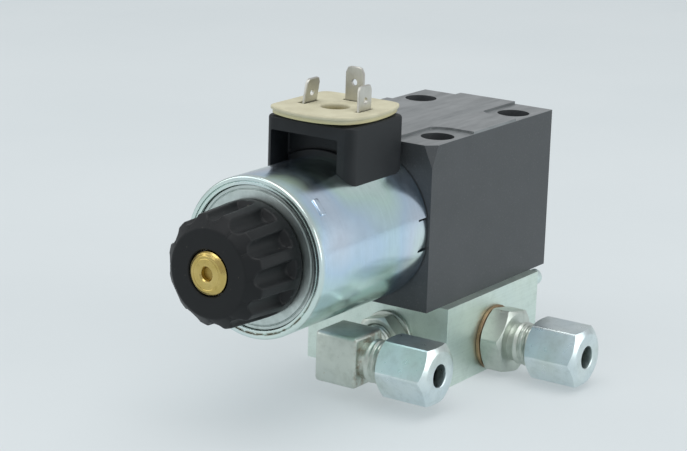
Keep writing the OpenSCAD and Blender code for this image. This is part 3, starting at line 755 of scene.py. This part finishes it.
def add_can():
    """The round can: a lip and seam at the front, and a slit tab pressed in at the back."""
    front, back, outer, seam = CAN_LOW.x, CAN_HIGH.x, CAN_RADIUS, SEAM_RADIUS
    inner = DISC_RADIUS + 0.1
    lip = [(front + 0.15, inner, 0.15), (front + 0.15, seam - 0.12, 0.1), (front + 0.5, seam, 0.05),
           (front, seam + 0.14, 0.12), (front, outer, 1.15)]
    tail = [back - SLIT_LENGTH - 0.6 + k * (SLIT_LENGTH + 0.5) / 7 for k in range(7)]
    outline = lip + [(x, outer, 0) for x in tail] + [(back, outer, 0.2), (back, inner, 0)]
    shell = lathed(outline, 180, 6)
    slit_low = (back - SLIT_LENGTH, -outer - 1, -SLIT_WIDTH / 2)
    slit_high = (back + 1, -inner + 1, SLIT_WIDTH / 2)
    cutters = [moved(box(slit_low, slit_high, 0.15, 2), spin(way * SLIT_ANGLE, "X")) for way in (1, -1)]
    connector = span("connector_housing")
    middle = (connector[0].x + connector[1].x) / 2
    cutters.append(box((middle - 4, -11, 0), (middle + 10, 11, outer + 1), 1.0))
    shell = carve(join(shell, stamped_bar(outer)), cutters)
    for vert in shell.verts:
        angle = math.degrees(math.atan2(vert.co.z, -vert.co.y))
        sunk = max(0, min(1, (vert.co.x - back + SLIT_LENGTH) / SLIT_LENGTH))
        if abs(angle) < SLIT_ANGLE:
            crease = TAB_CREASE if sunk > 0 else 0
            vert.co.yz *= 1 - (crease + TAB_SINK * sunk * (1 + TAB_BEND - TAB_BEND * sunk)) / outer
    piece("coil_can_shell", shell, "coil_can", SPOOL_PLACE, 32)


def add_disc(node, name, face, way):
    """An end disc with a rounded rim and a shallow turned groove near it. way points into the can."""
    low, high = span(node)
    outer = (high.z - low.z) / 2
    bore = 11.55
    groove = face + way * 0.25
    deep = face + way * (high.x - low.x)
    outline = [(face, bore, 0.3), (face, outer - 1.25, 0.1), (groove, outer - 1.12, 0.05),
               (groove, outer - 1.0, 0.05), (face, outer - 0.87, 0.1), (face, outer, 0.15),
               (deep, outer, 0.2), (deep, bore, 0.2)]
    disc = lathed(outline, 144, 3)
    piece(name, disc, node, SPOOL_PLACE)


def add_nut():
    """The coil nut: a cone with finger flutes that run out in a plain flange at the can."""
    low, high = span("coil_nut")
    front, back = low.x, high.x
    rim, rib, flange = 11.5, 14.7, (high.z - low.z) / 2
    axis = rib + 0.9
    bottom = axis - FLUTE_RADIUS
    skirt, end = front + 3, back - 3.4
    bush = span("override_bush")
    bore = (bush[1].z - bush[0].z) / 2 + 0.35
    recess, shoulder = 10.4, front + 2.8
    cone = rounded([(front, bore, 0), (front, rim, 1.1), (skirt, rib, 0.9), (end + 0.8, flange, 0)], steps=5)
    # a row is a place, a radius and how deep the flutes are cut there
    rows = [(front + 0.25, bore, 0), (front, bore + 0.25, 0)]
    rows += [(x, r, 1) for x, r in cone[1:-1] if r > bore]
    for k in range(1, 8):
        share = k / 8
        rows.append((skirt + 0.4 + (end - front - 3.7) * share, rib + (flange - rib) * share, 1))
    # more rows where the flutes break out of the cone
    fine = []
    for first, second in zip(rows, rows[1:]):
        fine.append(first)
        if first[1] < bottom + 1.6 and second[1] > bottom - 0.3:
            for k in range(1, 7):
                fine.append(tuple(a + (b - a) * k / 7 for a, b in zip(first, second)))
    rows = fine + [rows[-1]]
    rows += [(end - 0.5, flange, 1), (end - 0.25, flange, 0.92), (end + 0.35, flange, 0.1),
             (end + 0.6, flange, 0), (back - 0.5, flange, 0), (back - 0.15, flange - 0.12, 0),
             (back, flange - 0.45, 0), (back, recess, 0), (shoulder, recess, 0), (shoulder, bore, 0)]
    nut = loft([fluted(x, r, axis, cut) for x, r, cut in rows], closed=True)
    piece("coil_nut_fluted", nut, "coil_nut", SPOOL_PLACE, 42)


def add_bush():
    """The brass end of the tube: chamfered rim, a shallow ring on its face and the hole for the pin."""
    low, high = span("override_bush")
    front, outer = low.x, (high.z - low.z) / 2
    hole, neck_radius = 1.65, 5
    ring = front + 0.06
    stub = span("pole_tube")[0].x
    outline = [(front + 1.1, hole, 0), (front + 0.4, hole + 0.05, 0.2), (front, hole + 0.4, 0.15),
               (front, outer - 1.9, 0.1), (ring, outer - 1.8, 0.1), (ring, outer - 1.7, 0.1),
               (front, outer - 1.6, 0.1), (front, outer - 1.1, 0.25), (front + 0.45, outer - 0.6, 0.08),
               (front + 0.5, outer - 0.5, 0.08), (front + 1.0, outer, 0.25), (stub, outer, 0.1),
               (stub, neck_radius, 0), (high.x, neck_radius, 0.3), (high.x, hole, 0)]
    bush = lathed(outline)
    piece("override_bush_turned", bush, "override_bush", SPOOL_PLACE)


def add_spring():
    """The return spring as smooth wire, with its end turns closed and ground flat."""
    low, high = span("return_spring")
    wire, closed_pitch = 0.7, 0.95
    mean = (high.z - low.z) / 2 - wire
    start, stop = low.x + 0.25, high.x - 0.25
    turns, steps, sides = 7, 30, 14
    run = stop - start - 2 * wire - 2 * 2 * wire * closed_pitch
    rings = []
    for i in range(turns * steps + 1):
        turn = i / steps
        open_turn = min(max(turn - 1, 0), turns - 2) / (turns - 2)
        closed_turn = (min(turn, 1) + max(turn - turns + 1, 0)) * 2 * wire * closed_pitch
        x = start + wire + closed_turn + run * open_turn
        ring = []
        for k in range(sides):
            a = 2 * math.pi * k / sides
            along = max(start, min(stop, x + wire * math.sin(a)))
            ring.append(polar(along, mean + wire * math.cos(a), 360 * turn))
        rings.append(ring)
    rings = [[sum(rings[0], Vector()) / sides]] + rings + [[sum(rings[-1], Vector()) / sides]]
    shown = piece("return_spring_wire", loft(rings), "return_spring", SPOOL_PLACE, 60)
    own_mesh(shown)


# ---- connector ----

TERMINALS = ("terminal_left", "terminal_right", "earth_terminal")
EYE_RADIUS = 0.88
# The left blade has been bent a little towards -Y: by how many degrees, and how far below the gasket's top.
BENT = "terminal_left"
LEAN = 9
LEAN_DEPTH = 4.5


def lean_of(node):
    """How far a blade has moved sideways at the gasket's top."""
    return math.tan(math.radians(LEAN)) * LEAN_DEPTH if node == BENT else 0


def plate_section(z, low, high, inset, radius, steps=6):
    """A rounded rectangle at a height, inset from a box's sides."""
    points = []
    x0, x1, y0, y1 = low.x + inset, high.x - inset, low.y + inset, high.y - inset
    radius = max(0.05, radius - inset)
    corners = ((x1 - radius, y1 - radius, 0), (x0 + radius, y1 - radius, 90),
               (x0 + radius, y0 + radius, 180), (x1 - radius, y0 + radius, 270))
    for x, y, start in corners:
        for k in range(steps + 1):
            turn = math.radians(start + 90 * k / steps)
            points.append((x + radius * math.cos(turn), y + radius * math.sin(turn), z))
    return points


def saddle(x0, x1):
    """The curved flange that stands on the can inside the window."""
    foot, top = CAN_RADIUS - 1, CAN_RADIUS + 1.7
    rows = [(x0, foot, 0), (x0, top, 0.4), (x1, top, 0), (x1, foot, 0)]
    ring = lathed(rows, 120)
    return carve(ring, [box((x0 - 1, -9, 0), (x1 + 1, 11, 40))], "INTERSECT")


def add_housing():
    """The connector's base over the can, with the window at its front, drawn from the spool's axis."""
    low, high = (corner - SPOOL_AXIS for corner in span("connector_housing"))
    corner, fillet, foot = 2.6, 0.8, 11
    edge = math.sqrt(CAN_RADIUS**2 - high.y**2)
    middle = span("terminal_left")[0].lerp(span("terminal_left")[1], 0.5).x
    levels = [(foot, 0.0), (high.z - fillet, 0.0)]
    for turn in (0.4, 0.8, 1.2, math.pi / 2):
        levels.append((high.z - fillet * (1 - math.sin(turn)), fillet * (1 - math.cos(turn))))
    rings = [plate_section(z, low, high, inset, corner) for z, inset in levels]
    shell = loft([[(middle, 0, foot)]] + rings + [[(middle, 0, high.z)]])
    window_y, window_top, window_depth = (-9.2, 11.8), 27.9, 8.0
    cutters = [
        rod(low.x - 5, high.x + 5, CAN_RADIUS + 0.03, 180),
        box((low.x - 3, window_y[0], 5), (low.x + window_depth, window_y[1], window_top), 0.5),
    ]
    # the lower edges at the back, lifted clear of the can
    back, past, ends = high.x - 4, high.x + 1, []
    for y in (low.y - 1, high.y + 1):
        ends.append([(back, y, edge), (past, y, edge + 2), (past, y, 9), (back, y, 9)])
    cutters.append(loft([[(high.x, low.y - 1, 12)]] + ends + [[(high.x, high.y + 1, 12)]]))
    grow = Vector((0.12, 0.12, 0))
    for node in TERMINALS:
        slot_low, slot_high = (corner - SPOOL_AXIS for corner in span(node))
        slot_low.z = high.z - 7
        slot_low.y -= lean_of(node) / 2
        cutters.append(box(slot_low - grow, slot_high + grow))
    hole = rod(high.z - 8.9, high.z + 1, 3.06)
    cutters.append(moved(hole, Matrix.Translation((middle, 0, 0)) @ spin(-90, "Y")))
    inside = low.x + window_depth
    shell = join(carve(shell, cutters), saddle(inside - 1.3, inside + 0.3))
    soften(piece("connector_housing_shell", shell, "connector_housing", SPOOL_PLACE), 0.22)


GASKET_CIRCLE = 17.35
GASKET_CURL = 0.8
# Each side of the gasket: the radius of its bow, half its width and the way it faces.
GASKET_SIDES = ((45, 14.6, (1, 0)), (45, 14.6, (-1, 0)), (60, 13.8, (0, 1)), (60, 13.8, (0, -1)))
# The higher this power, the sharper the corners; the scale makes up for what it takes off.
CORNER_POWER = 26
CORNER_SCALE = 1.012


def gasket_reach(degrees, inset):
    """Distance from the gasket's centre to its edge: four bowed sides in a circle, with soft corners."""
    turn = math.radians(degrees)
    way = Vector((math.cos(turn), math.sin(turn)))
    reach = [GASKET_CIRCLE - inset]
    for bow, half, side in GASKET_SIDES:
        off = bow - half + inset
        along = way.dot(Vector(side)) * off
        reach.append(-along + math.sqrt(along**2 - off**2 + bow**2))
    return sum(value**-CORNER_POWER for value in reach) ** (-1 / CORNER_POWER) * CORNER_SCALE


def add_gasket():
    """The cream gasket: stepped edge, low lip round its hole, slots for the blades, curled corners."""
    low, high = span("connector_gasket")
    centre = (low + high) / 2
    base, top = low.z, high.z
    step = (base + top) / 2
    hole, sides = 3.8, 144

    def ring(z, reach):
        points = []
        for k in range(sides):
            turn = math.radians(360 * k / sides)
            out = reach(360 * k / sides)
            points.append((centre.x + out * math.cos(turn), centre.y + out * math.sin(turn), z))
        return points

    def round_ring(radius, z):
        return ring(z, lambda degrees: radius)

    def edge_ring(inset, z):
        return ring(z, lambda degrees: gasket_reach(degrees, inset))

    edge = [(0.62, base), (0.5, base + 0.12), (0.5, step - 0.12), (0.30, step - 0.02), (0.06, step + 0.05),
            (0.0, step + 0.25), (0.0, top - 0.45), (0.12, top - 0.18), (0.42, top - 0.03), (0.9, top)]
    lip = [(6.6, top), (5.9, top + 0.1), (hole + 0.55, top + 0.1), (hole + 0.15, top - 0.1)]
    rings = [round_ring(hole, top - 0.45), round_ring(hole, base + 0.15), round_ring(hole + 0.15, base)]
    rings += [edge_ring(inset, z) for inset, z in edge] + [round_ring(radius, z) for radius, z in lip]
    body = loft(rings, closed=True)
    for vert in body.verts:
        out = math.hypot(vert.co.x - centre.x, vert.co.y - centre.y) / GASKET_CIRCLE
        vert.co.z += GASKET_CURL * out**4
    slots = []
    for node in TERMINALS:
        a, b = span(node)
        slot_low = (a.x - 0.5, a.y - 0.4 - lean_of(node), base - 1)
        slots.append(box(slot_low, (b.x + 0.5, b.y + 0.5, top + 1), 0.25, 2))
    piece("connector_gasket_pad", carve(body, slots), "connector_gasket", sharp=50)


def blade_lean(node):
    """Leans the bent blade about a point below the gasket."""
    if node != BENT:
        return Matrix()
    low, high = span(node)
    pivot = Vector(((low.x + high.x) / 2, (low.y + high.y) / 2, span("connector_gasket")[1].z - LEAN_DEPTH))
    return Matrix.Translation(pivot) @ spin(LEAN, "X") @ Matrix.Translation(-pivot)


def add_blade(node, tip, eye, wide):
    """A tab terminal: chamfered and pointed at the tip, with a round eye. wide is the axis of its width."""
    low, high = span(node)
    centre = (low + high) / 2
    half = (high[wide] - low[wide]) / 2
    thick = min(high.x - low.x, high.y - low.y)
    point = [(1.3, 0), (0.25, 0.55), (0, 1.2)]
    point = [(half - tip * across, high.z - tip * down) for down, across in point]
    outline = [(-half, low.z), (half, low.z)] + point + [(-u, z) for u, z in reversed(point)]
    rings = [[(0, -0.5 * thick, centre.z)]]
    for side, inset in ((-0.5, 0.16), (-0.28, 0.0), (0.28, 0.0), (0.5, 0.16)):
        ring = []
        for u, z in outline:
            ring.append((u * (1 - inset / half), side * thick, z - inset if z > low.z + 1 else z))
        rings.append(ring)
    hole = moved(rod(-2, 2, EYE_RADIUS, 32), Matrix.Translation((0, 0, high.z - eye)) @ spin(90, "Z"))
    plate = carve(loft(rings + [[(0, 0.5 * thick, centre.z)]]), [hole])
    turn = spin(90 if wide == 1 else 0, "Z")
    place = blade_lean(node) @ Matrix.Translation((centre.x, centre.y, 0)) @ turn
    piece(node + "_blade", plate, node, place, 30)


def add_connector():
    add_housing()
    add_gasket()
    add_blade("terminal_left", 0.9, 4.0, 0)
    add_blade("terminal_right", 0.9, 4.0, 0)
    add_blade("earth_terminal", 1.3, 4.2, 1)


# ---- pipe fittings ----

# Each fitting is drawn along +X from the shoulder where its neck starts, and turned to face -Y.
NECK_RADIUS = 6.0
NECK_BARE = 6.9
NECK_LENGTH = 14.9
SOCKET = 3.05
UNION_FLATS = 15.5
LOCK_FLATS = 13


def fitting_place(name):
    low, high = span(name + "_union_nut")
    middle = (low + high) / 2
    shoulder = high.y + NECK_BARE
    return Matrix.Translation((middle.x, shoulder, middle.z)) @ spin(-90, "Z")


def neck():
    """The threaded neck from inside the forging to its end, with the undercut at its root."""
    rings = [circle(-2, 5.4), circle(0.0, 5.4), circle(0.3, 5.35), circle(1.5, 5.35), circle(2.0, 5.55)]
    rings += threaded(2.1, NECK_LENGTH - 0.6, NECK_RADIUS, 0.55)
    return capped(rings + [circle(NECK_LENGTH, NECK_RADIUS - 0.6)])


def socket_cut():
    """The hole for the tube: a socket with a cone at its mouth."""
    floor, cone, past, mouth = NECK_LENGTH - 7, NECK_LENGTH - 2.2, NECK_LENGTH + 1, 4.1
    line = [(floor, 0), (floor, SOCKET), (cone, SOCKET), (NECK_LENGTH, mouth), (past, mouth), (past, 0)]
    return turned(line, 60)


def add_union_nut(name):
    """A hexagon nut with turned-down corners, its thread inside and a rounded hole for the tube."""
    node = name + "_union_nut"
    place = fitting_place(name)
    corner = corner_angle(node, place)
    back = NECK_BARE
    front = back + span(node)[1].y - span(node)[0].y
    hole = SOCKET + 0.05
    thread = NECK_RADIUS + 0.1
    line = [(back + 0.5, thread), (back, thread + 0.5)] + hex_line(back, front, UNION_FLATS, 7.6, 6.6)
    line += [(front, hole + 0.4), (front - 0.06, hole + 0.2), (front - 0.2, hole + 0.06)]
    line += [(front - 0.5, hole), (NECK_LENGTH + 4.6, hole)]
    line += [(NECK_LENGTH + 1.6, thread), (NECK_LENGTH + 1.0, thread)]
    rings = [hex_section(x, r, UNION_FLATS, corner) for x, r in line]
    piece(node + "_hex", loft(rings, closed=True), node, place, 33)


def add_ring(name):
    """The cutting ring between neck and nut, a cone with a sharp inner edge."""
    bore = SOCKET + 0.02
    start, stop = NECK_LENGTH - 0.6, NECK_LENGTH + 3
    outline = [(start, bore, 0), (start, bore + 0.35, 0.1), (NECK_LENGTH + 0.4, 4.2, 0.1),
               (NECK_LENGTH + 1.2, 4.7, 0.3), (stop, 3.8, 0.2), (stop, bore, 0)]
    ring = lathed(outline, 60)
    piece(name + "_cutting_ring", ring, name + "_ring", fitting_place(name))


def add_washer(name, radius, bore, place, start, stop):
    node = name + "_washer"
    outline = [(start, bore, 0.1), (start, radius, 0.3), (stop, radius, 0.3), (stop, bore, 0.1)]
    washer = lathed(outline, 72, 3)
    piece(node + "_plate", washer, node, place)


def add_elbow():
    """The elbow: a square forging with its neck to the tube and its stud into the block."""
    place = fitting_place("elbow")
    side, forging_height, stud, bore = 13.2, 14.2, 4.9, 2.0
    # a little under the outer bore, so that the two meet in clean edges
    inner_bore = 1.85
    neck_start = place.translation
    half = Vector((side / 2, side / 2, forging_height / 2))
    centre = neck_start + Vector((0, side / 2, 0))
    forging = box(centre - half, centre + half, 1.2, 4)
    stud_place = Matrix.Translation((0, centre.y, centre.z))
    root, tip = centre.x + side / 2, span("elbow_body")[1].x
    rings = [circle(root - 2, stud)] + threaded(root + 0.2, tip - 0.6, stud, 0.4)
    thread = capped(rings + [circle(tip, stud - 0.6)])
    body = join(forging, moved(neck(), place), moved(thread, stud_place))
    bore_out = moved(rod(-side / 2, NECK_LENGTH, bore), place)
    bore_in = moved(rod(centre.x, tip + 1, inner_bore), stud_place)
    body = carve(body, [moved(socket_cut(), place), bore_out, bore_in])
    piece("elbow_forging", body, "elbow_body", sharp=40)

    start, stop = (end.x for end in span("elbow_lock_nut"))
    corner = corner_angle("elbow_lock_nut", stud_place)
    hole, mouth, chamfer = stud + 0.02, 5.4, 6.4
    line = [(start + 0.5, hole), (start, mouth)] + hex_line(start, stop, LOCK_FLATS, chamfer, chamfer)
    line += [(stop, mouth), (stop - 0.5, hole)]
    nut = loft([hex_section(x, r, LOCK_FLATS, corner) for x, r in line], closed=True)
    piece("elbow_lock_nut_hex", nut, "elbow_lock_nut", stud_place, 33)
    low, high = span("elbow_washer")
    add_washer("elbow", (high.y - low.y) / 2, hole, stud_place, low.x, high.x)


def add_straight():
    """The straight fitting: hexagon, neck and stud in one piece, on its stained washer."""
    place = fitting_place("straight")
    flats, stud, bore = 17, 6.5, 2.0
    corner = corner_angle("straight_body", place)
    low, high = span("straight_washer")
    shoulder = span("straight_union_nut")[1].y + NECK_BARE
    hex_back = shoulder - low.y
    stud_end = shoulder - span("straight_body")[1].y
    hexagon = capped([hex_section(x, r, flats, corner) for x, r in hex_line(hex_back, 0, flats, 8.4, 8.2)])
    rings = [circle(stud_end, stud - 0.6)] + threaded(stud_end + 0.6, hex_back + 0.2, stud, 0.5)
    body = join(hexagon, neck(), capped(rings + [circle(hex_back + 1, stud)]))
    body = carve(body, [socket_cut(), rod(stud_end - 1, NECK_LENGTH, bore)])
    piece("straight_fitting", body, "straight_body", place, 33)
    add_washer("straight", (high.x - low.x) / 2, stud + 0.02, place, shoulder - high.y, hex_back)


# ---- stage ----


def add_floor():
    mesh = bmesh.new()
    bmesh.ops.create_grid(mesh, x_segments=40, y_segments=40, size=6)
    data = mesh_data("floor", mesh)
    data.materials.append(floor_look())
    link("floor", data)


def add_softbox(name, place, target, size, power, colour=(1, 1, 1)):
    data = bpy.data.lights.new(name, "AREA")
    data.shape = "RECTANGLE"
    data.size, data.size_y = size
    data.energy = power
    data.color = colour
    light = link(name, data)
    light.location = place
    light.rotation_euler = (Vector(target) - Vector(place)).to_track_quat("-Z", "Y").to_euler()


def add_lights():
    middle = (cad_low + cad_high) / 2
    cool = (0.96, 0.99, 1.0)
    add_softbox("overhead", (-0.15, -0.10, 1.10), middle, (1.2, 1.0), 7.5)
    add_softbox("side", (0.25, -1.10, 0.35), middle, (1.2, 0.7), 4.0, cool)
    add_softbox("left", (-0.75, 0.80, 0.55), middle, (0.8, 0.7), 2.4, cool)
    world = bpy.data.worlds.new("studio")
    world.use_nodes = True
    tree = world.node_tree
    back = tree.nodes["Background"]
    sky = tree.nodes.new("ShaderNodeTexCoord")
    part = tree.nodes.new("ShaderNodeSeparateXYZ")
    ramp = tree.nodes.new("ShaderNodeValToRGB")
    tree.links.new(sky.outputs["Generated"], part.inputs["Vector"])
    tree.links.new(part.outputs["Z"], ramp.inputs["Fac"])
    tree.links.new(ramp.outputs["Color"], back.inputs["Color"])
    low, high = ramp.color_ramp.elements
    low.position, low.color = 0.0, (0.83, 0.85, 0.87, 1)
    high.position, high.color = 0.8, (0.95, 0.97, 1.0, 1)
    back.inputs["Strength"].default_value = 0.60
    SCENE.world = world


def add_camera():
    """The camera stands low at the coil's end, half a metre away on the side of the tube fittings."""
    place = Vector((-0.5129, -0.3173, 0.1958))
    heading, tilt, roll = 0.592, -0.259, 0.031
    flat = math.cos(tilt)
    forward = Vector((math.cos(heading) * flat, math.sin(heading) * flat, math.sin(tilt)))
    level = Vector((math.sin(heading), -math.cos(heading), 0))
    above = level.cross(forward)
    right = math.cos(roll) * level + math.sin(roll) * above
    up = math.cos(roll) * above - math.sin(roll) * level
    data = bpy.data.cameras.new("camera")
    data.lens = 115.4
    data.sensor_width = 36
    data.clip_start, data.clip_end = 0.01, 20
    camera = link("camera", data)
    camera.matrix_world = Matrix.Translation(place) @ Matrix((right, up, -forward)).transposed().to_4x4()
    SCENE.camera = camera


for node, shown in frame["nodes"].items():
    shown.data.materials.clear()
    shown.data.materials.append(LOOKS[SLOT_OF[node]])

add_body()
add_end_plug()
add_can()
add_disc("front_disc", "front_disc_turned", span("front_disc")[0].x, 1)
add_nut()
add_bush()
add_spring()
add_connector()
for fitting in ("elbow", "straight"):
    add_union_nut(fitting)
    add_ring(fitting)
add_elbow()
add_straight()
add_floor()
add_lights()
add_camera()
SCENE.view_settings.view_transform = "Standard"
